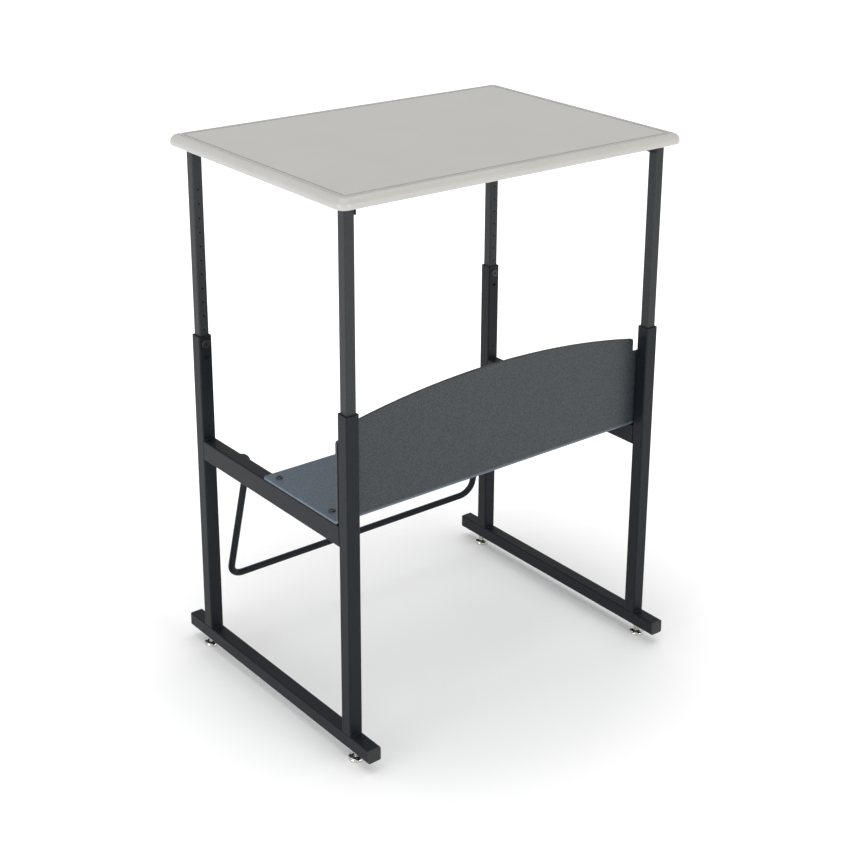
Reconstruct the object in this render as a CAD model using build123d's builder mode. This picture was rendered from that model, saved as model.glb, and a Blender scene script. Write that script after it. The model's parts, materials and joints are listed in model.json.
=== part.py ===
from build123d import *
import math
import os

# Stand-up desk: a flat moulded top on telescoping square legs, a shelf with an arched modesty
# panel between the side frames, and a footrest bar that swings from the two side rails.
# Millimetres, +Z up, origin on the floor under the middle of the frame. The user stands on the
# -Y side and looks along +Y, so the modesty panel is at the rear (+Y) and +X is the right.

# ---- driving dimensions -------------------------------------------------------------------
INCH = 25.4
LEG_X = 330.0              # leg axes, left and right of the middle
LEG_Y = 223.0              # leg axes, in front of and behind the middle
OUTER = INCH               # outer tube, square
OUTER_WALL = 1.9
OUTER_RADIUS = 3.0
INNER = 0.75 * INCH        # inner tube, square
INNER_WALL = 1.5
INNER_RADIUS = 2.5
SLIDE_GAP = 0.3            # clearance between the inner leg and its liner, each side

FOOT_RAIL_BOTTOM = 21.6    # underside of the foot rails above the floor
FOOT_RAIL_END = 288.0      # end of a foot rail, caps included
CAP_HEAD = 2.5
CAP_SPIGOT = 14.0
CAP_ROUND = 1.2
CAP_WALL = 2.0
CAP_FIT = 0.1              # each side of a plug inside its tube
CAP_CORNER = 1.0
CAP_BORE_CORNER = 0.8

OUTER_TOP = 626.4          # top of the outer legs
RAIL_TOP = 429.5           # top of the side rails
RAIL_HEIGHT = 1.5 * INCH

SHEET = 5.0                # shelf and modesty panel sheet
BEND_RADIUS = 4.0          # inside radius of the bend
SHELF_FRONT = -13.0        # front edge of the shelf
WING_TOP = 577.0           # top of the panel's side wings
ARCH_TOP = 632.0           # crown of the arch
ARCH_RADIUS = 1600.0
ARCH_HALF = 310.0          # half width of the arched part
PANEL_CORNER = 5.0
PANEL_GAP = 1.5            # between the panel and the rear legs
RIM_ROUND = 0.8            # all round the sheet's edges

HOLE_PITCH = INCH          # height steps
LOCK_Z = 613.0             # height screw in each outer leg
LOCK_RADIUS = 3.6          # holes in the outer legs
STEP_RADIUS = 1.6          # tapped holes in the inner legs
HOLES_ABOVE = 11
HOLES_BELOW = 3
VENT_Z = 456.0             # small drain hole above the side rail
VENT_RADIUS = 1.5
INNER_LENGTH = 20 * INCH
LINER_LENGTH = 46.0
LINER_FIT = 0.05           # each side, inside the outer leg
LINER_RECESS = 0.5         # below the outer leg's end
PLUG_HEAD = 4.0
PLUG_HEAD_CORNER = 1.5
PLUG_CORNER = 1.1
PLUG_FIT = 0.05

TOP_UNDER = 967.2          # underside of the top
TOP_THICK = 18.6
TOP_WIDTH = 723.0
TOP_DEPTH = 515.0
TOP_OFFSET_Y = -0.9        # the top sits slightly towards the user
TOP_CORNER = 17.0
TOP_ROUND = 12.2           # one large round takes up most of the edge
UNDER_ROUND = 3.5
# rings pressed into the top: inset of the outside, outer corner, width, depth, round of the bottom
TOP_RINGS = (
    (17.6, 7.0, 4.4, 1.7, 1.5),    # groove between the flat field and the rim
    (12.4, 4.6, 1.8, 0.7, 0.5),    # crease where the rim meets the rounded edge
)

ANGLE_FLANGE = INCH        # steel angle under the top, flange against the top
ANGLE_DROP = 16.0          # flange against the legs
ANGLE_THICK = 3.0
TOP_SCREW_X = 304.0
TOP_SCREW_PITCH = 150.0
TOP_SCREW_HOLE = 13.0      # depth of the pilot holes in the top
TOP_SCREW_HEAD = 4.6
TOP_SCREW_HEIGHT = 2.8
TOP_SCREW_SHANK = 1.8
TOP_SCREW_LENGTH = 15.0
SCREW_GAP = 0.1            # round a shank that bites, each side
ANGLE_HOLE = 2.4

PIVOT_Y = -148.0           # footrest pivot
PIVOT_Z = RAIL_TOP - RAIL_HEIGHT / 2
BAR_RADIUS = INCH / 4
BAR_WALL = 1.6
BAR_LEAN = 16.1            # arms lean towards the user
BAR_ARM_X = 289.0
BAR_ARM = 289.0            # pivot axis to the axis of the footrest run
BAR_END_X = 336.0
BAR_LOWER_BEND = 27.0
BAR_UPPER_BEND = 20.0
BUSH_RADIUS = 8.0
BUSH_BORE = BAR_RADIUS + 0.07
BUSH_FLANGE_RADIUS = 11.0
BUSH_FLANGE = 1.5
BUSH_LENGTH = 12.0

SHELF_SCREW_X = 325.2
SHELF_SCREW_Y = (9.6, 166.4)
SHELF_SCREW_HEAD = 6.3
SHELF_SCREW_HEIGHT = 2.4
SHELF_SCREW_SHANK = 2.2
SHELF_SCREW_LENGTH = 16.0
SHELF_HOLE = 2.9
HEAD_ROUND = 0.7           # share of a pan head's height that is rounded
CROSS_REACH = 0.6          # size of the cross recess against the head
CROSS_WIDTH = 0.24
CROSS_DEPTH = 0.6          # share of the head's height

LOCK_HEAD = 8.0            # height screw head, flat and wide
LOCK_HEAD_HEIGHT = 2.6
LOCK_HEAD_ROUND = 1.8
LOCK_SOCKET = 2.1          # hexagon socket
LOCK_SOCKET_DEPTH = 1.8
LOCK_SHANK = 3.1
LOCK_TIP = 2.8             # the shank's end stays clear of the inner leg

GLIDE_Y = 235.0
GLIDE_RADIUS = 14.5
GLIDE_HEIGHT = 8.5
PAD_FOOT = (2.0, 0.0)      # points of the pad's profile: in from the rim, and height
PAD_EDGE = (0.5, 0.8)
PAD_WALL = (2.5, 4.2)      # heights between which the rim is upright
PAD_SHOULDER = (1.2, 6.2)
PAD_TOP = (4.0, 7.2)
COLLAR_RADIUS = 7.5
STEM_RADIUS = 3.95
STEM_TOP = 40.0
STEM_FOOT = 3.0
STEM_CHAMFER = 0.8
STEM_GAP = 0.3             # round the stem where it passes through the rail
STEM_HEX = 6.6             # spanner faces below the rail
STEM_HEX_Z = 12.5
STEM_HEX_HEIGHT = 4.5
SOCKET_GAP = 0.15          # round the stem in the pad
SOCKET_FLOOR = 2.6
NUT_HEX = 7.4
NUT_HEIGHT = 7.0
NUT_GAP = 0.05

SIDES = {"left": -1, "right": 1}
ENDS = {"front": -1, "rear": 1}

FOOT_RAIL_TOP = FOOT_RAIL_BOTTOM + OUTER
RAIL_BOTTOM = RAIL_TOP - RAIL_HEIGHT
BORE = OUTER - 2 * OUTER_WALL          # inside of the outer tube
INNER_TOP = TOP_UNDER
INNER_BOTTOM = INNER_TOP - INNER_LENGTH
FRAME_X = LEG_X + OUTER / 2            # outer face of a side frame
LEG_FRONT_OF_REAR = LEG_Y - OUTER / 2  # face of the rear legs that the panel lies against

os.makedirs("parts", exist_ok=True)


def save(part, label):
    part.label = label
    export_step(part, f"parts/{label}.step")


def tube_profile(size_x, size_y, wall, radius):
    """Rounded rectangular tube section in the sketch that is open."""
    RectangleRounded(size_x, size_y, radius)
    bore_radius = max(radius - wall, CAP_BORE_CORNER)
    RectangleRounded(size_x - 2 * wall, size_y - 2 * wall, bore_radius, mode=Mode.SUBTRACT)


def facing_middle(end):
    """Plane at the leg axis, normal towards the middle of the desk along Y."""
    return Vector(0, -end, 0)


# ---- legs ---------------------------------------------------------------------------------
def outer_leg(side, end):
    inward = facing_middle(end)
    with BuildPart() as leg:
        with BuildSketch(Plane((side * LEG_X, end * LEG_Y, FOOT_RAIL_TOP))):
            tube_profile(OUTER, OUTER, OUTER_WALL, OUTER_RADIUS)
        extrude(amount=OUTER_TOP - FOOT_RAIL_TOP)
        for height, radius in (
            (LOCK_Z, LOCK_RADIUS),
            (LOCK_Z - HOLE_PITCH, LOCK_RADIUS),
            (VENT_Z, VENT_RADIUS),
        ):
            with BuildSketch(Plane((side * LEG_X, end * LEG_Y, height), z_dir=inward)):
                Circle(radius)
            extrude(amount=OUTER, mode=Mode.SUBTRACT)
    return leg.part


def leg_liner(side, end):
    outside = BORE - 2 * LINER_FIT
    inside = INNER + 2 * SLIDE_GAP
    with BuildPart() as liner:
        with BuildSketch(Plane((side * LEG_X, end * LEG_Y, OUTER_TOP - LINER_LENGTH))):
            RectangleRounded(outside, outside, OUTER_RADIUS - OUTER_WALL + 2 * LINER_FIT)
            RectangleRounded(inside, inside, INNER_RADIUS + 2 * LINER_FIT, mode=Mode.SUBTRACT)
        extrude(amount=LINER_LENGTH - LINER_RECESS)
        for height in (LOCK_Z, LOCK_Z - HOLE_PITCH):
            with BuildSketch(Plane((side * LEG_X, end * LEG_Y, height), z_dir=facing_middle(end))):
                Circle(LOCK_RADIUS + 2 * LINER_FIT)
            extrude(amount=OUTER, mode=Mode.SUBTRACT)
    return liner.part


def inner_leg(side, end):
    with BuildPart() as leg:
        with BuildSketch(Plane((side * LEG_X, end * LEG_Y, INNER_BOTTOM))):
            tube_profile(INNER, INNER, INNER_WALL, INNER_RADIUS)
        extrude(amount=INNER_LENGTH)
        steps = range(-HOLES_BELOW, HOLES_ABOVE + 1)
        with BuildSketch(Plane((side * LEG_X, end * LEG_Y, LOCK_Z), z_dir=facing_middle(end))) as holes:
            up = holes.workplanes[0].to_local_coords(Vector(side * LEG_X, end * LEG_Y, LOCK_Z + 1))
            with Locations([up * (HOLE_PITCH * step) for step in steps]):
                Circle(STEP_RADIUS)
        extrude(amount=INNER, mode=Mode.SUBTRACT)
    return leg.part


def leg_plug(side, end):
    """Guide plug in the lower end of an inner leg."""
    inside = INNER - 2 * (INNER_WALL + PLUG_FIT)
    head = BORE - 2 * SLIDE_GAP
    with BuildPart() as plug:
        with BuildSketch(Plane((side * LEG_X, end * LEG_Y, INNER_BOTTOM))):
            RectangleRounded(inside, inside, PLUG_CORNER)
        extrude(amount=CAP_SPIGOT)
        with BuildSketch(Plane((side * LEG_X, end * LEG_Y, INNER_BOTTOM - PLUG_HEAD))):
            RectangleRounded(head, head, PLUG_HEAD_CORNER)
        extrude(amount=PLUG_HEAD)
    return plug.part


# ---- side frames --------------------------------------------------------------------------
def side_rail(side):
    half = LEG_FRONT_OF_REAR
    with BuildPart() as rail:
        with BuildSketch(Plane((side * LEG_X, -half, PIVOT_Z), x_dir=(1, 0, 0), z_dir=(0, 1, 0))):
            tube_profile(OUTER, RAIL_HEIGHT, OUTER_WALL, OUTER_RADIUS)
        extrude(amount=2 * half)
        with BuildSketch(Plane.XY.offset(RAIL_TOP - 2 * OUTER_WALL)):
            with Locations([(side * SHELF_SCREW_X, y) for y in SHELF_SCREW_Y]):
                Circle(SHELF_SCREW_SHANK + SCREW_GAP)
        extrude(amount=3 * OUTER_WALL, mode=Mode.SUBTRACT)
        with BuildSketch(Plane((side * LEG_X, PIVOT_Y, PIVOT_Z), z_dir=(-side, 0, 0))):
            Circle(BUSH_RADIUS + LINER_FIT)
        extrude(amount=OUTER, mode=Mode.SUBTRACT)
    return rail.part


def foot_rail(side):
    tube_end = FOOT_RAIL_END - CAP_HEAD
    centre_z = FOOT_RAIL_BOTTOM + OUTER / 2
    with BuildPart() as rail:
        with BuildSketch(Plane((side * LEG_X, -tube_end, centre_z), x_dir=(1, 0, 0), z_dir=(0, 1, 0))):
            tube_profile(OUTER, OUTER, OUTER_WALL, OUTER_RADIUS)
        extrude(amount=2 * tube_end)
        with BuildSketch(Plane.XY.offset(FOOT_RAIL_BOTTOM - 1)):
            with Locations((side * LEG_X, -GLIDE_Y), (side * LEG_X, GLIDE_Y)):
                Circle(STEM_RADIUS + STEM_GAP)
        extrude(amount=OUTER_WALL + 2, mode=Mode.SUBTRACT)
    return rail.part


def foot_cap(side, end):
    tube_end = FOOT_RAIL_END - CAP_HEAD
    centre_z = FOOT_RAIL_BOTTOM + OUTER / 2
    face = Plane((side * LEG_X, end * tube_end, centre_z), x_dir=(1, 0, 0), z_dir=(0, end, 0))
    spigot = BORE - 2 * CAP_FIT
    with BuildPart() as cap:
        with BuildSketch(face):
            RectangleRounded(OUTER, OUTER, OUTER_RADIUS)
        extrude(amount=CAP_HEAD)
        outer_rim = cap.faces().sort_by(Axis.Y)[-1 if end > 0 else 0].edges()
        fillet(outer_rim, CAP_ROUND)
        with BuildSketch(face):
            RectangleRounded(spigot, spigot, CAP_CORNER)
            bore = spigot - 2 * CAP_WALL
            RectangleRounded(bore, bore, CAP_BORE_CORNER, mode=Mode.SUBTRACT)
        extrude(amount=-CAP_SPIGOT)
    return cap.part


# ---- shelf and modesty panel, one bent sheet ----------------------------------------------
def book_shelf():
    rear = LEG_FRONT_OF_REAR - PANEL_GAP
    top = RAIL_TOP + SHEET
    above = ARCH_TOP + SHEET
    arch_end = ARCH_TOP - ARCH_RADIUS + math.sqrt(ARCH_RADIUS**2 - ARCH_HALF**2)
    with BuildPart() as shelf:
        with BuildSketch(Plane.YZ) as profile:
            with BuildLine():
                Polyline(
                    (SHELF_FRONT, RAIL_TOP), (rear, RAIL_TOP), (rear, above),
                    (rear - SHEET, above), (rear - SHEET, top), (SHELF_FRONT, top), close=True,
                )
            make_face()
            outer_bend = profile.vertices().sort_by_distance((rear, RAIL_TOP, 0))[0]
            fillet(outer_bend, BEND_RADIUS + SHEET)
            inner_bend = profile.vertices().sort_by_distance((rear - SHEET, top, 0))[0]
            fillet(inner_bend, BEND_RADIUS)
        extrude(amount=FRAME_X, both=True)
        with BuildSketch(Plane.XZ.offset(-rear - 1)) as waste:
            with Locations((0, WING_TOP + (above - WING_TOP) / 2)):
                Rectangle(3 * FRAME_X, above - WING_TOP)
            with BuildLine():
                arch = ThreePointArc((-ARCH_HALF, arch_end), (0, ARCH_TOP), (ARCH_HALF, arch_end))
                Polyline(arch @ 1, (ARCH_HALF, WING_TOP), (-ARCH_HALF, WING_TOP), arch @ 0)
            make_face(mode=Mode.SUBTRACT)
            fillet(waste.vertices().filter_by(lambda v: abs(abs(v.X) - ARCH_HALF) < 1e-3), PANEL_CORNER)
        extrude(amount=SHEET + 2, mode=Mode.SUBTRACT)
        wing_corners = shelf.edges().filter_by(Axis.Y).filter_by(
            lambda e: abs(abs(e.center().X) - FRAME_X) < 1e-3 and abs(e.center().Z - WING_TOP) < 1e-3
        )
        fillet(wing_corners, PANEL_CORNER)
        front_corners = shelf.edges().filter_by(Axis.Z).filter_by(
            lambda e: abs(e.center().Y - SHELF_FRONT) < 1e-3
        )
        fillet(front_corners, PANEL_CORNER)
        # the rims are all edges but the ones across the thickness and the lines of the bend
        rims = shelf.edges().filter_by(
            lambda e: abs(e.length - SHEET) > 1e-3 and abs(e.length - 2 * FRAME_X) > 1e-3
        )
        fillet(rims, RIM_ROUND)
        with BuildSketch(Plane.XY.offset(RAIL_TOP - 1)):
            with Locations([(x * SHELF_SCREW_X, y) for x in (-1, 1) for y in SHELF_SCREW_Y]):
                Circle(SHELF_HOLE)
        extrude(amount=SHEET + 2, mode=Mode.SUBTRACT)
    return shelf.part


# ---- the top ------------------------------------------------------------------------------
def desk_top():
    with BuildPart() as top:
        with BuildSketch(Plane((0, TOP_OFFSET_Y, TOP_UNDER))):
            RectangleRounded(TOP_WIDTH, TOP_DEPTH, TOP_CORNER)
        extrude(amount=TOP_THICK)
        fillet(top.faces().sort_by(Axis.Z)[-1].edges(), TOP_ROUND)
        fillet(top.faces().sort_by(Axis.Z)[0].edges(), UNDER_ROUND)
        for inset, corner, ring_width, ring_depth, bottom_round in TOP_RINGS:
            with BuildSketch(Plane((0, TOP_OFFSET_Y, TOP_UNDER + TOP_THICK))):
                for shift, mode in ((0, Mode.ADD), (ring_width, Mode.SUBTRACT)):
                    width = TOP_WIDTH - 2 * (inset + shift)
                    depth = TOP_DEPTH - 2 * (inset + shift)
                    RectangleRounded(width, depth, corner - shift, mode=mode)
            extrude(amount=-ring_depth, mode=Mode.SUBTRACT)
            ring_floor_z = TOP_UNDER + TOP_THICK - ring_depth
            ring_floor = top.faces().filter_by(lambda f: abs(f.center().Z - ring_floor_z) < 1e-3)[0]
            fillet(ring_floor.edges(), bottom_round)
        with BuildSketch(Plane.XY.offset(TOP_UNDER - 1)):
            with Locations(top_screw_places()):
                Circle(TOP_SCREW_SHANK + SCREW_GAP)
        extrude(amount=TOP_SCREW_HOLE + 1, mode=Mode.SUBTRACT)
    return top.part


def top_screw_places():
    rows = (-TOP_SCREW_PITCH, 0, TOP_SCREW_PITCH)
    return [(side * TOP_SCREW_X, y) for side in (-1, 1) for y in rows]


def top_angle(side):
    """Steel angle that joins a front and a rear inner leg and carries the top."""
    leg_face = LEG_X - INNER / 2
    half = LEG_Y + INNER / 2
    with BuildPart() as angle:
        with BuildSketch(Plane((0, -half, 0), x_dir=(1, 0, 0), z_dir=(0, 1, 0))):
            with BuildLine():
                Polyline(
                    (side * leg_face, -TOP_UNDER), (side * leg_face, -TOP_UNDER + ANGLE_DROP),
                    (side * (leg_face - ANGLE_THICK), -TOP_UNDER + ANGLE_DROP),
                    (side * (leg_face - ANGLE_THICK), -TOP_UNDER + ANGLE_THICK),
                    (side * (leg_face - ANGLE_FLANGE), -TOP_UNDER + ANGLE_THICK),
                    (side * (leg_face - ANGLE_FLANGE), -TOP_UNDER), close=True,
                )
            make_face()
        extrude(amount=2 * half)
        with BuildSketch(Plane.XY.offset(TOP_UNDER - ANGLE_THICK - 1)):
            with Locations([place for place in top_screw_places() if place[0] * side > 0]):
                Circle(ANGLE_HOLE)
        extrude(amount=ANGLE_THICK + 2, mode=Mode.SUBTRACT)
    return angle.part


# ---- fasteners ----------------------------------------------------------------------------
def cross_recess(radius):
    """Cross recess for a driver, in the sketch that is open."""
    Rectangle(2 * radius, 2 * CROSS_WIDTH * radius)
    Rectangle(2 * CROSS_WIDTH * radius, 2 * radius)


def pan_screw(point, head_dir, head_radius, head_height, shank_radius, shank_length):
    """Pan-head screw whose head sits on point and rises along head_dir."""
    seat = Plane(point, z_dir=head_dir)
    with BuildPart() as screw:
        with BuildSketch(seat):
            Circle(head_radius)
        extrude(amount=head_height)
        crown = screw.edges().sort_by(Axis(point, head_dir))[-1]
        fillet(crown, head_height * HEAD_ROUND)
        with BuildSketch(seat):
            Circle(shank_radius)
        extrude(amount=-shank_length)
        with BuildSketch(seat.offset(head_height)):
            cross_recess(head_radius * CROSS_REACH)
        extrude(amount=-head_height * CROSS_DEPTH, mode=Mode.SUBTRACT)
    return screw.part


def height_screw(side, end):
    """Button-head screw with a hexagon socket; its tip stays clear of the inner leg."""
    face = LEG_Y - OUTER / 2
    seat = Plane((side * LEG_X, end * face, LOCK_Z), z_dir=facing_middle(end))
    with BuildPart() as screw:
        with BuildSketch(seat):
            Circle(LOCK_HEAD)
        extrude(amount=LOCK_HEAD_HEIGHT)
        fillet(screw.faces().sort_by(Axis.Y)[0 if end > 0 else -1].edges(), LOCK_HEAD_ROUND)
        with BuildSketch(seat):
            Circle(LOCK_SHANK)
        extrude(amount=-LOCK_TIP)
        with BuildSketch(seat.offset(LOCK_HEAD_HEIGHT)):
            RegularPolygon(LOCK_SOCKET, 6)
        extrude(amount=-LOCK_SOCKET_DEPTH, mode=Mode.SUBTRACT)
    return screw.part


# ---- footrest -----------------------------------------------------------------------------
def footrest_bar():
    lean = math.radians(BAR_LEAN)
    plane = Plane(
        (0, PIVOT_Y, PIVOT_Z), x_dir=(1, 0, 0), z_dir=(0, math.cos(lean), -math.sin(lean)),
    )
    down = plane.to_local_coords(Vector(0, PIVOT_Y - math.sin(lean), PIVOT_Z - math.cos(lean))).Y
    with BuildPart() as bar:
        with BuildLine(plane) as path:
            FilletPolyline(
                (BAR_END_X, 0), (BAR_ARM_X, 0), (BAR_ARM_X, down * BAR_ARM),
                (-BAR_ARM_X, down * BAR_ARM), (-BAR_ARM_X, 0), (-BAR_END_X, 0),
                radius=[BAR_UPPER_BEND, BAR_LOWER_BEND, BAR_LOWER_BEND, BAR_UPPER_BEND],
            )
        with BuildSketch(Plane((BAR_END_X, PIVOT_Y, PIVOT_Z), z_dir=(-1, 0, 0))):
            Circle(BAR_RADIUS)
            Circle(BAR_RADIUS - BAR_WALL, mode=Mode.SUBTRACT)
        sweep(path=path.wires()[0])
    return bar.part


def footrest_bush(side):
    rail_face = LEG_X - OUTER / 2
    with BuildPart() as bush:
        with BuildSketch(Plane((side * rail_face, PIVOT_Y, PIVOT_Z), z_dir=(side, 0, 0))):
            Circle(BUSH_RADIUS)
        extrude(amount=BUSH_LENGTH)
        with BuildSketch(Plane((side * rail_face, PIVOT_Y, PIVOT_Z), z_dir=(-side, 0, 0))):
            Circle(BUSH_FLANGE_RADIUS)
        extrude(amount=BUSH_FLANGE)
        with BuildSketch(Plane((side * (rail_face - 2 * BUSH_FLANGE), PIVOT_Y, PIVOT_Z), z_dir=(side, 0, 0))):
            Circle(BUSH_BORE)
        extrude(amount=BUSH_LENGTH + 4 * BUSH_FLANGE, mode=Mode.SUBTRACT)
    return bush.part


# ---- levelling glides ---------------------------------------------------------------------
def glide_base(side, end):
    """Plated pad with a dished top and a blind socket for the stem."""
    r = GLIDE_RADIUS
    axis_plane = Plane((side * LEG_X, end * GLIDE_Y, 0), x_dir=(1, 0, 0), z_dir=(0, -1, 0))
    with BuildPart() as base:
        with BuildSketch(axis_plane):
            with BuildLine():
                foot = Line((0, 0), (r - PAD_FOOT[0], 0))
                edge = ThreePointArc(foot @ 1, (r - PAD_EDGE[0], PAD_EDGE[1]), (r, PAD_WALL[0]))
                wall = Line(edge @ 1, (r, PAD_WALL[1]))
                shoulder_mid = (r - PAD_SHOULDER[0], PAD_SHOULDER[1])
                shoulder = ThreePointArc(wall @ 1, shoulder_mid, (r - PAD_TOP[0], PAD_TOP[1]))
                dish = Line(shoulder @ 1, (COLLAR_RADIUS, GLIDE_HEIGHT))
                collar = Line(dish @ 1, (STEM_RADIUS + SOCKET_GAP, GLIDE_HEIGHT))
                socket = Line(collar @ 1, (STEM_RADIUS + SOCKET_GAP, SOCKET_FLOOR))
                floor = Line(socket @ 1, (0, SOCKET_FLOOR))
                Line(floor @ 1, (0, 0))
            make_face()
        revolve(axis=Axis((side * LEG_X, end * GLIDE_Y, 0), (0, 0, 1)))
    return base.part


def glide_stem(side, end):
    with BuildPart() as stem:
        with BuildSketch(Plane((side * LEG_X, end * GLIDE_Y, STEM_FOOT))):
            Circle(STEM_RADIUS)
        extrude(amount=STEM_TOP - STEM_FOOT)
        chamfer(stem.edges().filter_by(GeomType.CIRCLE).sort_by(Axis.Z)[-1], STEM_CHAMFER)
        with BuildSketch(Plane((side * LEG_X, end * GLIDE_Y, STEM_HEX_Z))):
            RegularPolygon(STEM_HEX, 6)
        extrude(amount=STEM_HEX_HEIGHT)
    return stem.part


def glide_nut(side, end):
    """Weld nut inside the foot rail."""
    with BuildPart() as nut:
        with BuildSketch(Plane((side * LEG_X, end * GLIDE_Y, FOOT_RAIL_BOTTOM + OUTER_WALL))):
            RegularPolygon(NUT_HEX, 6)
            Circle(STEM_RADIUS + NUT_GAP, mode=Mode.SUBTRACT)
        extrude(amount=NUT_HEIGHT)
    return nut.part


# ---- build every piece --------------------------------------------------------------------
for side_name, side in SIDES.items():
    save(side_rail(side), f"side_rail_{side_name}")
    save(foot_rail(side), f"foot_rail_{side_name}")
    save(top_angle(side), f"top_angle_{side_name}")
    save(footrest_bush(side), f"footrest_bush_{side_name}")
    for end_name, end in ENDS.items():
        place = f"{end_name}_{side_name}"
        save(outer_leg(side, end), f"outer_leg_{place}")
        save(inner_leg(side, end), f"inner_leg_{place}")
        save(leg_liner(side, end), f"leg_liner_{place}")
        save(leg_plug(side, end), f"leg_plug_{place}")
        save(foot_cap(side, end), f"foot_cap_{place}")
        save(glide_base(side, end), f"glide_base_{place}")
        save(glide_stem(side, end), f"glide_stem_{place}")

save(desk_top(), "desk_top")
save(book_shelf(), "book_shelf")
save(footrest_bar(), "footrest_bar")

CORNERS = [(side, end) for side in SIDES.values() for end in ENDS.values()]
UP = (0, 0, 1)
DOWN = (0, 0, -1)
shelf_head = (SHELF_SCREW_HEAD, SHELF_SCREW_HEIGHT, SHELF_SCREW_SHANK, SHELF_SCREW_LENGTH)
top_head = (TOP_SCREW_HEAD, TOP_SCREW_HEIGHT, TOP_SCREW_SHANK, TOP_SCREW_LENGTH)
shelf_screws = [
    pan_screw((side * SHELF_SCREW_X, y, RAIL_TOP + SHEET), UP, *shelf_head)
    for side in SIDES.values() for y in SHELF_SCREW_Y
]
top_screws = [
    pan_screw((x, y, TOP_UNDER - ANGLE_THICK), DOWN, *top_head) for x, y in top_screw_places()
]
save(Compound(children=shelf_screws), "shelf_screws")
save(Compound(children=top_screws), "top_screws")
save(Compound(children=[height_screw(*corner) for corner in CORNERS]), "height_screws")
save(Compound(children=[glide_nut(*corner) for corner in CORNERS]), "glide_nuts")
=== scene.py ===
import bpy
import json
import math
from mathutils import Matrix, Vector


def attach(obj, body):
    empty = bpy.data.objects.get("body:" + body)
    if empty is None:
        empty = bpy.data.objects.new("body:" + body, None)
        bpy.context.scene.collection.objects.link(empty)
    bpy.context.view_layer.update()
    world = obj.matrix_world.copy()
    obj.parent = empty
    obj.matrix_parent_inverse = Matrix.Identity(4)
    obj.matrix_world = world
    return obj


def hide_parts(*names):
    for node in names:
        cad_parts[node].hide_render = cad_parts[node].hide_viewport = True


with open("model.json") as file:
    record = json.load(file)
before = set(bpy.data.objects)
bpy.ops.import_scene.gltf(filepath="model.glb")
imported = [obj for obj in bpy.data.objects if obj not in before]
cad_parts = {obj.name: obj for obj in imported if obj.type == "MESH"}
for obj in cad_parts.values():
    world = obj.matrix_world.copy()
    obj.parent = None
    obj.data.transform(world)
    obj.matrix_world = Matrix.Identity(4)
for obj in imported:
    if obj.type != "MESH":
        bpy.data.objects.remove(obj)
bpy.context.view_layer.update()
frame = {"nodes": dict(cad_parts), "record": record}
sides = ("left", "right")
ends = ("front", "rear")
print("frame loaded:", len(frame["nodes"]), "nodes")


# camera, at the height and turn of someone standing behind the desk's right rear corner
cameraSettings = {
    "place": (1.69722, 2.18874, 1.65389),
    "azimuth": 139.372,      # degrees round the desk, 0 looks along +Y
    "elevation": 19.209,
    "roll": 1.206,
    "lens": 70.0,
    "sensor": 36.0,
    "shift": (-0.0946, -0.1493),
}


def placeCamera():
    a = math.radians(cameraSettings["azimuth"])
    e = math.radians(cameraSettings["elevation"])
    r = math.radians(cameraSettings["roll"])
    back = Vector((math.sin(a) * math.cos(e), -math.cos(a) * math.cos(e), math.sin(e)))
    level = Vector((math.cos(a), math.sin(a), 0))
    rise = back.cross(level)
    right = level * math.cos(r) + rise * math.sin(r)
    up = rise * math.cos(r) - level * math.sin(r)
    bpy.ops.object.camera_add()
    camera = bpy.context.object
    turn = Matrix((right, up, back)).transposed()
    camera.matrix_world = Matrix.Translation(cameraSettings["place"]) @ turn.to_4x4()
    camera.data.lens = cameraSettings["lens"]
    camera.data.sensor_width = cameraSettings["sensor"]
    camera.data.shift_x, camera.data.shift_y = cameraSettings["shift"]
    bpy.context.scene.camera = camera


placeCamera()
print("camera placed")


# shared helpers for the materials

def startMaterial(name, roughness, **sockets):
    material = bpy.data.materials.new(name)
    material.use_nodes = True
    shader = material.node_tree.nodes["Principled BSDF"]
    shader.inputs["Roughness"].default_value = roughness
    for socket, value in sockets.items():
        shader.inputs[socket.replace("_", " ")].default_value = value
    return material, material.node_tree.nodes, material.node_tree.links


def objectNoise(nodes, links, scale, detail):
    place = nodes.new("ShaderNodeTexCoord")
    noise = nodes.new("ShaderNodeTexNoise")
    noise.inputs["Scale"].default_value = scale
    noise.inputs["Detail"].default_value = detail
    links.new(place.outputs["Object"], noise.inputs["Vector"])
    return noise


rampEnds = (0.35, 0.65)      # noise values at which a ramp starts and ends


def rampFrom(nodes, links, source, dark, light):
    ramp = nodes.new("ShaderNodeValToRGB")
    ramp.color_ramp.elements[0].position = rampEnds[0]
    ramp.color_ramp.elements[0].color = (*dark, 1)
    ramp.color_ramp.elements[1].position = rampEnds[1]
    ramp.color_ramp.elements[1].color = (*light, 1)
    links.new(source.outputs[0], ramp.inputs["Fac"])
    return ramp


def tintFrom(nodes, links, source, dark, light):
    ramp = rampFrom(nodes, links, source, dark, light)
    links.new(ramp.outputs["Color"], nodes["Principled BSDF"].inputs["Base Color"])


def glossFrom(nodes, links, source, low, high):
    ramp = rampFrom(nodes, links, source, (low,) * 3, (high,) * 3)
    links.new(ramp.outputs["Color"], nodes["Principled BSDF"].inputs["Roughness"])


def bumpFrom(nodes, links, source, strength, distance):
    bump = nodes.new("ShaderNodeBump")
    bump.inputs["Strength"].default_value = strength
    bump.inputs["Distance"].default_value = distance
    links.new(source.outputs[0], bump.inputs["Height"])
    links.new(bump.outputs["Normal"], nodes["Principled BSDF"].inputs["Normal"])


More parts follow.
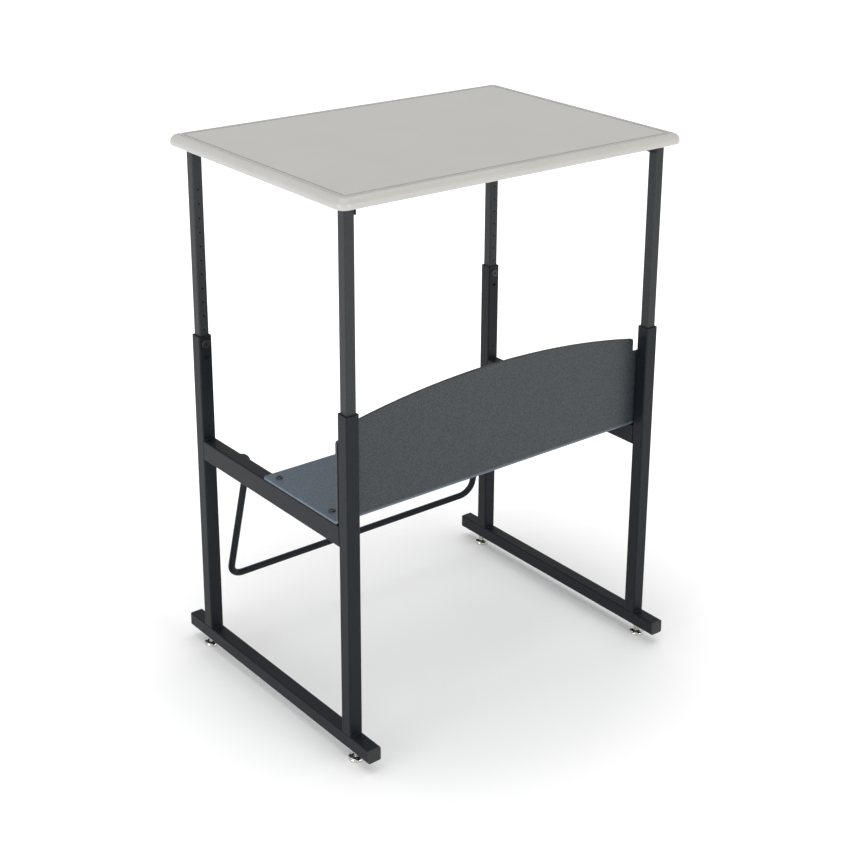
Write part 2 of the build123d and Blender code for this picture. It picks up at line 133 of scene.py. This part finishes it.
def mouldedTop():
    material, nodes, links = startMaterial("mouldedTop", 0.3, Specular_IOR_Level=0.5)
    cloud = objectNoise(nodes, links, 9, 2)
    tintFrom(nodes, links, cloud, (0.446, 0.440, 0.416), (0.462, 0.456, 0.434))
    glossFrom(nodes, links, cloud, 0.29, 0.33)
    return material


def powderCoat(name, dark, light, sheen):
    material, nodes, links = startMaterial(name, 0.44, Specular_IOR_Level=sheen)
    speck = objectNoise(nodes, links, 950, 3)
    tintFrom(nodes, links, speck, dark, light)
    dent = objectNoise(nodes, links, 520, 2)
    bumpFrom(nodes, links, dent, 0.35, 0.0003)
    return material


# one sheet in two tones of painted light: the shelf below the bend is tinted lighter and bluer for the light
# falling on it, the panel above the bend keeps the darker tone
sheetSettings = {
    "bend": (0.4345, 0.4395),
}


def grainedSheet():
    material, nodes, links = startMaterial("grainedSheet", 0.42, Specular_IOR_Level=0.4)
    pebble = objectNoise(nodes, links, 620, 2)
    panel = rampFrom(nodes, links, pebble, (0.010, 0.0145, 0.0175), (0.036, 0.043, 0.049))
    # painted light: the shelf's lighter, bluer tone stands in for light falling on it
    shelf = rampFrom(nodes, links, pebble, (0.055, 0.080, 0.106), (0.118, 0.158, 0.198))
    place = nodes.new("ShaderNodeTexCoord")
    split = nodes.new("ShaderNodeSeparateXYZ")
    rise = nodes.new("ShaderNodeMapRange")
    rise.inputs["From Min"].default_value, rise.inputs["From Max"].default_value = sheetSettings["bend"]
    # painted light: the tone switches from the shelf's to the panel's across the bend height
    blend = nodes.new("ShaderNodeMix")
    blend.data_type = "RGBA"
    links.new(place.outputs["Object"], split.inputs["Vector"])
    links.new(split.outputs["Z"], rise.inputs["Value"])
    links.new(rise.outputs["Result"], blend.inputs["Factor"])
    links.new(shelf.outputs["Color"], blend.inputs["A"])
    links.new(panel.outputs["Color"], blend.inputs["B"])
    links.new(blend.outputs["Result"], nodes["Principled BSDF"].inputs["Base Color"])
    bumpFrom(nodes, links, pebble, 0.45, 0.0004)
    return material


def plainBlack(name, value, roughness):
    material, nodes, links = startMaterial(name, roughness, Specular_IOR_Level=0.35)
    cloud = objectNoise(nodes, links, 240, 3)
    dark = (value * 0.8, value * 0.84, value * 0.92)
    tintFrom(nodes, links, cloud, dark, tuple(c * 1.5 for c in dark))
    bumpFrom(nodes, links, cloud, 0.2, 0.0002)
    return material


def platedMetal(name, color, low, high):
    material, nodes, links = startMaterial(name, low, Metallic=1.0)
    streak = objectNoise(nodes, links, 300, 3)
    tintFrom(nodes, links, streak, tuple(c * 0.92 for c in color), color)
    glossFrom(nodes, links, streak, low, high)
    bumpFrom(nodes, links, streak, 0.06, 0.0001)
    return material


finishes = {
    "moulded_top": mouldedTop(),
    "black_powder_coat": powderCoat("blackCoat", (0.004, 0.0056, 0.0078), (0.014, 0.0175, 0.0225), 0.15),
    # a lighter copy of the black coat, with a slightly higher specular level
    "charcoal_powder_coat": powderCoat("lighterCoat", (0.016, 0.0185, 0.0195), (0.036, 0.040, 0.042), 0.2),
    "grained_sheet": grainedSheet(),
    "black_plastic": plainBlack("blackPlastic", 0.018, 0.42),
    "black_nylon": plainBlack("blackNylon", 0.022, 0.5),
    "black_screws": plainBlack("blackScrews", 0.016, 0.36),
    "grey_screws": plainBlack("greyScrews", 0.045, 0.4),
    "plated_thread": platedMetal("platedThread", (0.6, 0.59, 0.56), 0.26, 0.36),
    "bright_nickel": platedMetal("brightNickel", (0.76, 0.75, 0.73), 0.08, 0.16),
}

for part in frame["record"]["subparts"]:
    node = frame["nodes"][part["node"]]
    node.data.materials.clear()
    node.data.materials.append(finishes[part["material_slot"]])
print("finishes on")


# weld beads of the side frames, laid where the tubes meet
beadSettings = {
    "radius": 0.0026,
    "ripple": 0.0006,
    "pitch": 0.0034,         # one drop of weld after another
    "around": 10,
    "perDrop": 4,            # rings in one drop, and the fewest in a bead
    "fewest": 8,
    "tip": 0.02,             # how small and how blunt the bead's ends are
    "blunt": 8,
    "proud": 0.0004,         # how far the bead's axis lies outside the corner
    "inset": 0.0032,         # ends stay clear of the tubes' rounded corners
}


def layBead(name, start, end):
    start, end = Vector(start), Vector(end)
    length = (end - start).length
    rings = max(beadSettings["fewest"], round(length / beadSettings["pitch"]) * beadSettings["perDrop"])
    bpy.ops.object.select_all(action="DESELECT")
    bpy.ops.mesh.primitive_cylinder_add(
        vertices=beadSettings["around"], radius=beadSettings["radius"], depth=length, end_fill_type="TRIFAN"
    )
    bead = bpy.context.object
    bead.name = name
    bpy.ops.object.mode_set(mode="EDIT")
    bpy.ops.mesh.select_mode(type="EDGE")
    bpy.ops.mesh.select_all(action="DESELECT")
    bpy.ops.object.mode_set(mode="OBJECT")
    for edge in bead.data.edges:
        ends = [bead.data.vertices[v].co for v in edge.vertices]
        edge.select = abs(ends[0].z - ends[1].z) > length / 2
    bpy.ops.object.mode_set(mode="EDIT")
    bpy.ops.mesh.subdivide(number_cuts=rings)
    bpy.ops.mesh.select_all(action="SELECT")
    bpy.ops.mesh.normals_make_consistent(inside=False)
    bpy.ops.object.mode_set(mode="OBJECT")
    turn = (end - start).to_track_quat("Z", "X").to_matrix().to_4x4()
    middle = Matrix.Translation((start + end) / 2)
    for vertex in bead.data.vertices:
        along = vertex.co.z / length + 0.5
        taper = math.sqrt(max(beadSettings["tip"], 1 - abs(2 * along - 1) ** beadSettings["blunt"]))
        wave = math.cos(2 * math.pi * vertex.co.z / beadSettings["pitch"])
        size = taper * (1 + beadSettings["ripple"] / beadSettings["radius"] * wave)
        vertex.co = middle @ turn @ Vector((vertex.co.x * size, vertex.co.y * size, vertex.co.z))
    bpy.ops.object.shade_smooth()
    bead.data.materials.clear()
    bead.data.materials.append(finishes["black_powder_coat"])
    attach(bead, "base_frame")


frameSettings = {
    "legX": 0.33,
    "legY": 0.223,
    "half": 0.0127,
    "railTop": 0.4295,
    "railBottom": 0.3914,
    "footTop": 0.047,
}


def weldFrames():
    half = frameSettings["half"]
    reach = half - beadSettings["inset"]
    proud = beadSettings["proud"]
    for side, sideSign in zip(sides, (-1, 1)):
        x = sideSign * frameSettings["legX"]
        for end, endSign in zip(ends, (-1, 1)):
            corner = f"{end}_{side}"
            y = endSign * frameSettings["legY"]
            inner = y - endSign * (half + proud)
            outer = y + endSign * (half + proud)
            foot = frameSettings["footTop"] + proud
            top = frameSettings["railTop"] + proud
            bottom = frameSettings["railBottom"] - proud
            beads = {"footBeadInner": (inner, foot), "footBeadOuter": (outer, foot)}
            beads["railBeadUnder"] = (inner, bottom)
            if end == "front":
                beads["railBeadTop"] = (inner, top)
            for name, (across, height) in beads.items():
                layBead(f"{name}_{corner}", (x - reach, across, height), (x + reach, across, height))


weldFrames()
print("weld beads laid")


# glide spindles with a real thread below and inside the foot rails
spindleSettings = {
    "root": 0.00335,
    "crest": 0.00395,
    "pitch": 0.00125,
    "around": 20,
    "perTurn": 6,            # rings in one turn of the thread
    "bottom": 0.003,
    "top": 0.0392,
    "hexBottom": 0.0125,
    "hexTop": 0.017,
    "hexRadius": 0.0066,
    "hexRound": 0.0003,
    "glideX": 0.33,
    "glideY": 0.235,
}


def threadSpindle(corner, x, y):
    bottom, top = spindleSettings["bottom"], spindleSettings["top"]
    rings = round((top - bottom) / spindleSettings["pitch"] * spindleSettings["perTurn"])
    bpy.ops.object.select_all(action="DESELECT")
    bpy.ops.mesh.primitive_cylinder_add(
        vertices=spindleSettings["around"], radius=1, depth=top - bottom, end_fill_type="TRIFAN"
    )
    spindle = bpy.context.object
    spindle.name = f"spindle_{corner}"
    bpy.ops.object.mode_set(mode="EDIT")
    bpy.ops.mesh.select_mode(type="EDGE")
    bpy.ops.mesh.select_all(action="DESELECT")
    bpy.ops.object.mode_set(mode="OBJECT")
    for edge in spindle.data.edges:
        heights = [spindle.data.vertices[v].co.z for v in edge.vertices]
        edge.select = abs(heights[0] - heights[1]) > (top - bottom) / 2
    bpy.ops.object.mode_set(mode="EDIT")
    bpy.ops.mesh.subdivide(number_cuts=rings - 1)
    bpy.ops.mesh.select_all(action="SELECT")
    bpy.ops.mesh.normals_make_consistent(inside=False)
    bpy.ops.object.mode_set(mode="OBJECT")
    for vertex in spindle.data.vertices:
        height = vertex.co.z + (top + bottom) / 2
        turn = math.atan2(vertex.co.y, vertex.co.x) / (2 * math.pi)
        phase = (height / spindleSettings["pitch"] - turn) % 1
        ridge = 1 - abs(2 * phase - 1)
        radius = spindleSettings["root"] + (spindleSettings["crest"] - spindleSettings["root"]) * ridge
        shrink = radius if abs(vertex.co.xy.length) > 0.5 else 0
        vertex.co = (x + vertex.co.x * shrink, y + vertex.co.y * shrink, height)
    bpy.ops.object.shade_smooth()
    return spindle


def spindleHex(corner, x, y):
    low, high = spindleSettings["hexBottom"], spindleSettings["hexTop"]
    bpy.ops.object.select_all(action="DESELECT")
    bpy.ops.mesh.primitive_cylinder_add(vertices=6, radius=spindleSettings["hexRadius"], depth=high - low)
    nut = bpy.context.object
    nut.name = f"spindleHex_{corner}"
    bpy.ops.object.modifier_add(type="BEVEL")
    nut.modifiers["Bevel"].width = spindleSettings["hexRound"]
    nut.modifiers["Bevel"].segments = 2
    bpy.ops.object.modifier_apply(modifier="Bevel")
    for vertex in nut.data.vertices:
        vertex.co = (x + vertex.co.x, y + vertex.co.y, vertex.co.z + (low + high) / 2)
    bpy.ops.object.shade_smooth_by_angle(angle=math.radians(30))
    return nut


for end, endSign in zip(ends, (-1, 1)):
    for side, sideSign in zip(sides, (-1, 1)):
        corner = f"{end}_{side}"
        x, y = sideSign * spindleSettings["glideX"], endSign * spindleSettings["glideY"]
        for piece in (threadSpindle(corner, x, y), spindleHex(corner, x, y)):
            piece.data.materials.clear()
            piece.data.materials.append(finishes["plated_thread"])
            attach(piece, f"glide_spindle_{corner}")
            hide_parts(f"glide_stem_{corner}")
print("spindles threaded")


# floor with a painted glow that brightens it away from the desk, room light and lamps
floorSettings = {
    "size": 40,
    "color": (0.97, 0.97, 0.975, 1),
    "roughness": 0.9,
    "glowReach": (0.4, 1.3),     # painted light: the floor's glow grows between these distances from the middle
    "glow": (0.04, 0.5),
    "roomLight": 0.6,
}


def buildStudio():
    bpy.ops.object.select_all(action="DESELECT")
    bpy.ops.mesh.primitive_plane_add(size=floorSettings["size"], location=(0, 0, 0))
    floor = bpy.context.object
    floor.name = "studioFloor"
    tone = {"Base_Color": floorSettings["color"], "Emission_Color": (1, 1, 1, 1)}
    material, nodes, links = startMaterial("studioFloor", floorSettings["roughness"], **tone)
    place = nodes.new("ShaderNodeTexCoord")
    reach = nodes.new("ShaderNodeVectorMath")
    reach.operation = "LENGTH"
    glow = nodes.new("ShaderNodeMapRange")
    glow.inputs["From Min"].default_value, glow.inputs["From Max"].default_value = floorSettings["glowReach"]
    glow.inputs["To Min"].default_value, glow.inputs["To Max"].default_value = floorSettings["glow"]
    links.new(place.outputs["Object"], reach.inputs[0])
    links.new(reach.outputs["Value"], glow.inputs["Value"])
    # painted light: the floor glows faintly near the desk and strongly further out
    links.new(glow.outputs["Result"], nodes["Principled BSDF"].inputs["Emission Strength"])
    floor.data.materials.append(material)
    world = bpy.data.worlds.new("studio")
    world.use_nodes = True
    background = world.node_tree.nodes["Background"]
    background.inputs["Color"].default_value = (1, 1, 1, 1)
    background.inputs["Strength"].default_value = floorSettings["roomLight"]
    bpy.context.scene.world = world
    bpy.context.scene.view_settings.view_transform = "Standard"


# name, place, point aimed at, size in metres, watts, color
lamps = (
    ("topLight", (0.1, -0.4, 4.6), (0, -0.6, 0), 5.0, 99, (1, 1, 1)),
    ("leftLight", (3.2, 0.5, 1.0), (0, 0, 0.8), 1.4, 30, (0.97, 0.985, 1.0)),
    ("rearLight", (-0.5, 3.4, 1.1), (0, 0, 0.8), 1.4, 30, (1.0, 0.975, 0.91)),
)


def addSoftbox(name, place, aim, size, power, color):
    bpy.ops.object.light_add(type="AREA", location=place)
    lamp = bpy.context.object
    lamp.name = name
    lamp.data.energy = power
    lamp.data.size = size
    lamp.data.color = color
    lamp.rotation_mode = "QUATERNION"
    lamp.rotation_quaternion = (Vector(aim) - Vector(place)).to_track_quat("-Z", "Y")


buildStudio()
for lamp in lamps:
    addSoftbox(*lamp)
print("studio lit")
